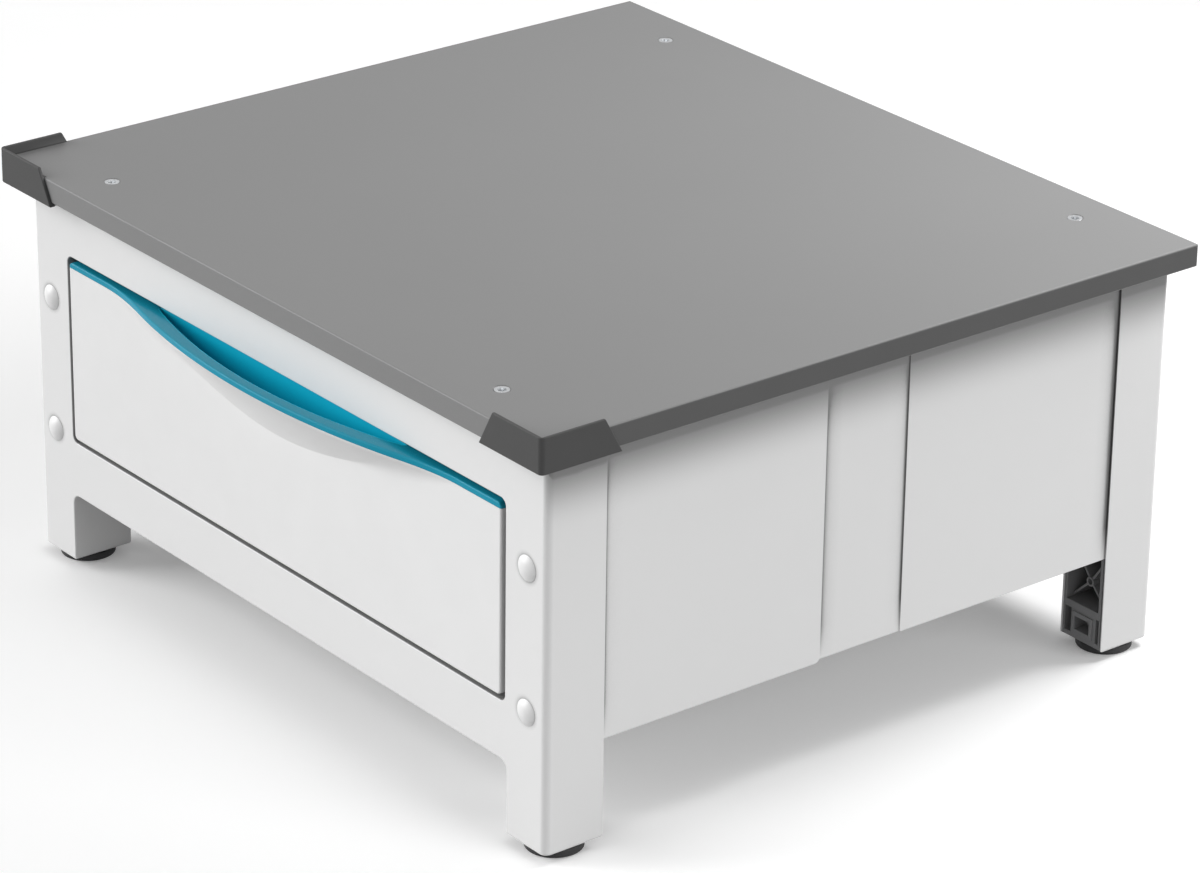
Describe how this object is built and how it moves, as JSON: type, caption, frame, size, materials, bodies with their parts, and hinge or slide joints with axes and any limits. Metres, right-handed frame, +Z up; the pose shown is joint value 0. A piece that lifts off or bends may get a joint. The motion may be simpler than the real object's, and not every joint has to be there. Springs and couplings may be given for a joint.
{
  "type": "washer pedestal drawer",
  "caption": "Raised stand for a washing machine: grey board on white pressed-steel frames, with a full-width pull-out drawer under it and levelling feet.",
  "frame": {"origin": "on the floor under the feet, in the middle of the pedestal's bounding box seen from above", "axes": "+X to the right for a person who faces the drawer, +Y from the drawer to the back, +Z up"},
  "size_m": [0.6046, 0.556, 0.3014],
  "materials": {
    "board": "matte grey laminate on fibreboard",
    "guard": "satin moulded dark grey plastic",
    "white_paint": "smooth white powder coat",
    "white_plastic": "semi-gloss moulded white plastic",
    "teal_plastic": "semi-gloss moulded teal plastic",
    "core_plastic": "matt moulded mid grey plastic",
    "slide_steel": "bright zinc-plated strip",
    "fastener_zinc": "zinc-plated steel",
    "rubber": "matt black rubber"
  },
  "bodies": {
    "pedestal": {"top_board": "board", "corner_guard_left": "guard", "corner_guard_right": "guard", "guard_screws": "fastener_zinc", "board_screws": "fastener_zinc", "board_nuts": "fastener_zinc", "front_frame": "white_paint", "rear_frame": "white_paint", "side_sheet_front_left": "white_paint", "side_sheet_front_right": "white_paint", "side_sheet_rear_left": "white_paint", "side_sheet_rear_right": "white_paint", "leg_core_front_left": "core_plastic", "leg_core_front_right": "core_plastic", "leg_core_rear_left": "core_plastic", "leg_core_rear_right": "core_plastic", "frame_screws_front": "fastener_zinc", "frame_screws_rear": "fastener_zinc", "screw_caps": "white_plastic", "foot_inserts": "fastener_zinc", "carrier_rail_left": "slide_steel", "carrier_rail_right": "slide_steel", "carrier_screws": "fastener_zinc", "slide_outer_left": "slide_steel", "slide_outer_right": "slide_steel", "slide_rivets": "fastener_zinc"},
    "drawer": {"drawer_front": "white_plastic", "handle_insert": "teal_plastic", "drawer_front_plate": "white_paint", "drawer_side_left": "white_paint", "drawer_side_right": "white_paint", "drawer_back": "white_paint", "drawer_bottom": "white_paint", "drawer_front_screws": "fastener_zinc", "drawer_back_rivets": "fastener_zinc", "slide_inner_left": "slide_steel", "slide_inner_right": "slide_steel", "drawer_slide_rivets": "fastener_zinc"},
    "slide_middle_left": {"slide_middle_left": "slide_steel"},
    "cage_outer_left": {"cage_outer_left": "fastener_zinc"},
    "cage_inner_left": {"cage_inner_left": "fastener_zinc"},
    "slide_middle_right": {"slide_middle_right": "slide_steel"},
    "cage_outer_right": {"cage_outer_right": "fastener_zinc"},
    "cage_inner_right": {"cage_inner_right": "fastener_zinc"},
    "foot_pad_front_left": {"foot_pad_front_left": "rubber"},
    "foot_stud_front_left": {"foot_stud_front_left": "fastener_zinc"},
    "foot_pad_front_right": {"foot_pad_front_right": "rubber"},
    "foot_stud_front_right": {"foot_stud_front_right": "fastener_zinc"},
    "foot_pad_rear_left": {"foot_pad_rear_left": "rubber"},
    "foot_stud_rear_left": {"foot_stud_rear_left": "fastener_zinc"},
    "foot_pad_rear_right": {"foot_pad_rear_right": "rubber"},
    "foot_stud_rear_right": {"foot_stud_rear_right": "fastener_zinc"}
  },
  "joints": [
    {"name": "drawer_slide", "type": "slide", "parent": "pedestal", "child": "drawer", "axis": [0, -1, 0], "range_m": [0, 0.42]},
    {"name": "slide_middle_left_slide", "type": "slide", "parent": "pedestal", "child": "slide_middle_left", "axis": [0, -1, 0], "range_m": [0, 0.21]},
    {"name": "cage_outer_left_slide", "type": "slide", "parent": "pedestal", "child": "cage_outer_left", "axis": [0, -1, 0], "range_m": [0, 0.105]},
    {"name": "cage_inner_left_slide", "type": "slide", "parent": "pedestal", "child": "cage_inner_left", "axis": [0, -1, 0], "range_m": [0, 0.315]},
    {"name": "slide_middle_right_slide", "type": "slide", "parent": "pedestal", "child": "slide_middle_right", "axis": [0, -1, 0], "range_m": [0, 0.21]},
    {"name": "cage_outer_right_slide", "type": "slide", "parent": "pedestal", "child": "cage_outer_right", "axis": [0, -1, 0], "range_m": [0, 0.105]},
    {"name": "cage_inner_right_slide", "type": "slide", "parent": "pedestal", "child": "cage_inner_right", "axis": [0, -1, 0], "range_m": [0, 0.315]},
    {"name": "foot_lift_front_left", "type": "slide", "parent": "pedestal", "child": "foot_pad_front_left", "axis": [0, 0, -1], "range_m": [0, 0.012]},
    {"name": "foot_turn_front_left", "type": "hinge", "parent": "foot_pad_front_left", "child": "foot_stud_front_left", "pos_m": [-0.268, -0.229, 0], "axis": [0, 0, 1], "range_deg": [0, 2880]},
    {"name": "foot_lift_front_right", "type": "slide", "parent": "pedestal", "child": "foot_pad_front_right", "axis": [0, 0, -1], "range_m": [0, 0.012]},
    {"name": "foot_turn_front_right", "type": "hinge", "parent": "foot_pad_front_right", "child": "foot_stud_front_right", "pos_m": [0.268, -0.229, 0], "axis": [0, 0, 1], "range_deg": [0, 2880]},
    {"name": "foot_lift_rear_left", "type": "slide", "parent": "pedestal", "child": "foot_pad_rear_left", "axis": [0, 0, -1], "range_m": [0, 0.012]},
    {"name": "foot_turn_rear_left", "type": "hinge", "parent": "foot_pad_rear_left", "child": "foot_stud_rear_left", "pos_m": [-0.268, 0.244, 0], "axis": [0, 0, 1], "range_deg": [0, 2880]},
    {"name": "foot_lift_rear_right", "type": "slide", "parent": "pedestal", "child": "foot_pad_rear_right", "axis": [0, 0, -1], "range_m": [0, 0.012]},
    {"name": "foot_turn_rear_right", "type": "hinge", "parent": "foot_pad_rear_right", "child": "foot_stud_rear_right", "pos_m": [0.268, 0.244, 0], "axis": [0, 0, 1], "range_deg": [0, 2880]}
  ],
  "couplings": [
    {"joint": "slide_middle_left_slide", "follows": "drawer_slide", "ratio": 0.5},
    {"joint": "cage_outer_left_slide", "follows": "drawer_slide", "ratio": 0.25},
    {"joint": "cage_inner_left_slide", "follows": "drawer_slide", "ratio": 0.75},
    {"joint": "slide_middle_right_slide", "follows": "drawer_slide", "ratio": 0.5},
    {"joint": "cage_outer_right_slide", "follows": "drawer_slide", "ratio": 0.25},
    {"joint": "cage_inner_right_slide", "follows": "drawer_slide", "ratio": 0.75},
    {"joint": "foot_turn_front_left", "follows": "foot_lift_front_left", "rad_per_m": 4188.8},
    {"joint": "foot_turn_front_right", "follows": "foot_lift_front_right", "rad_per_m": 4188.8},
    {"joint": "foot_turn_rear_left", "follows": "foot_lift_rear_left", "rad_per_m": 4188.8},
    {"joint": "foot_turn_rear_right", "follows": "foot_lift_rear_right", "rad_per_m": 4188.8}
  ]
}
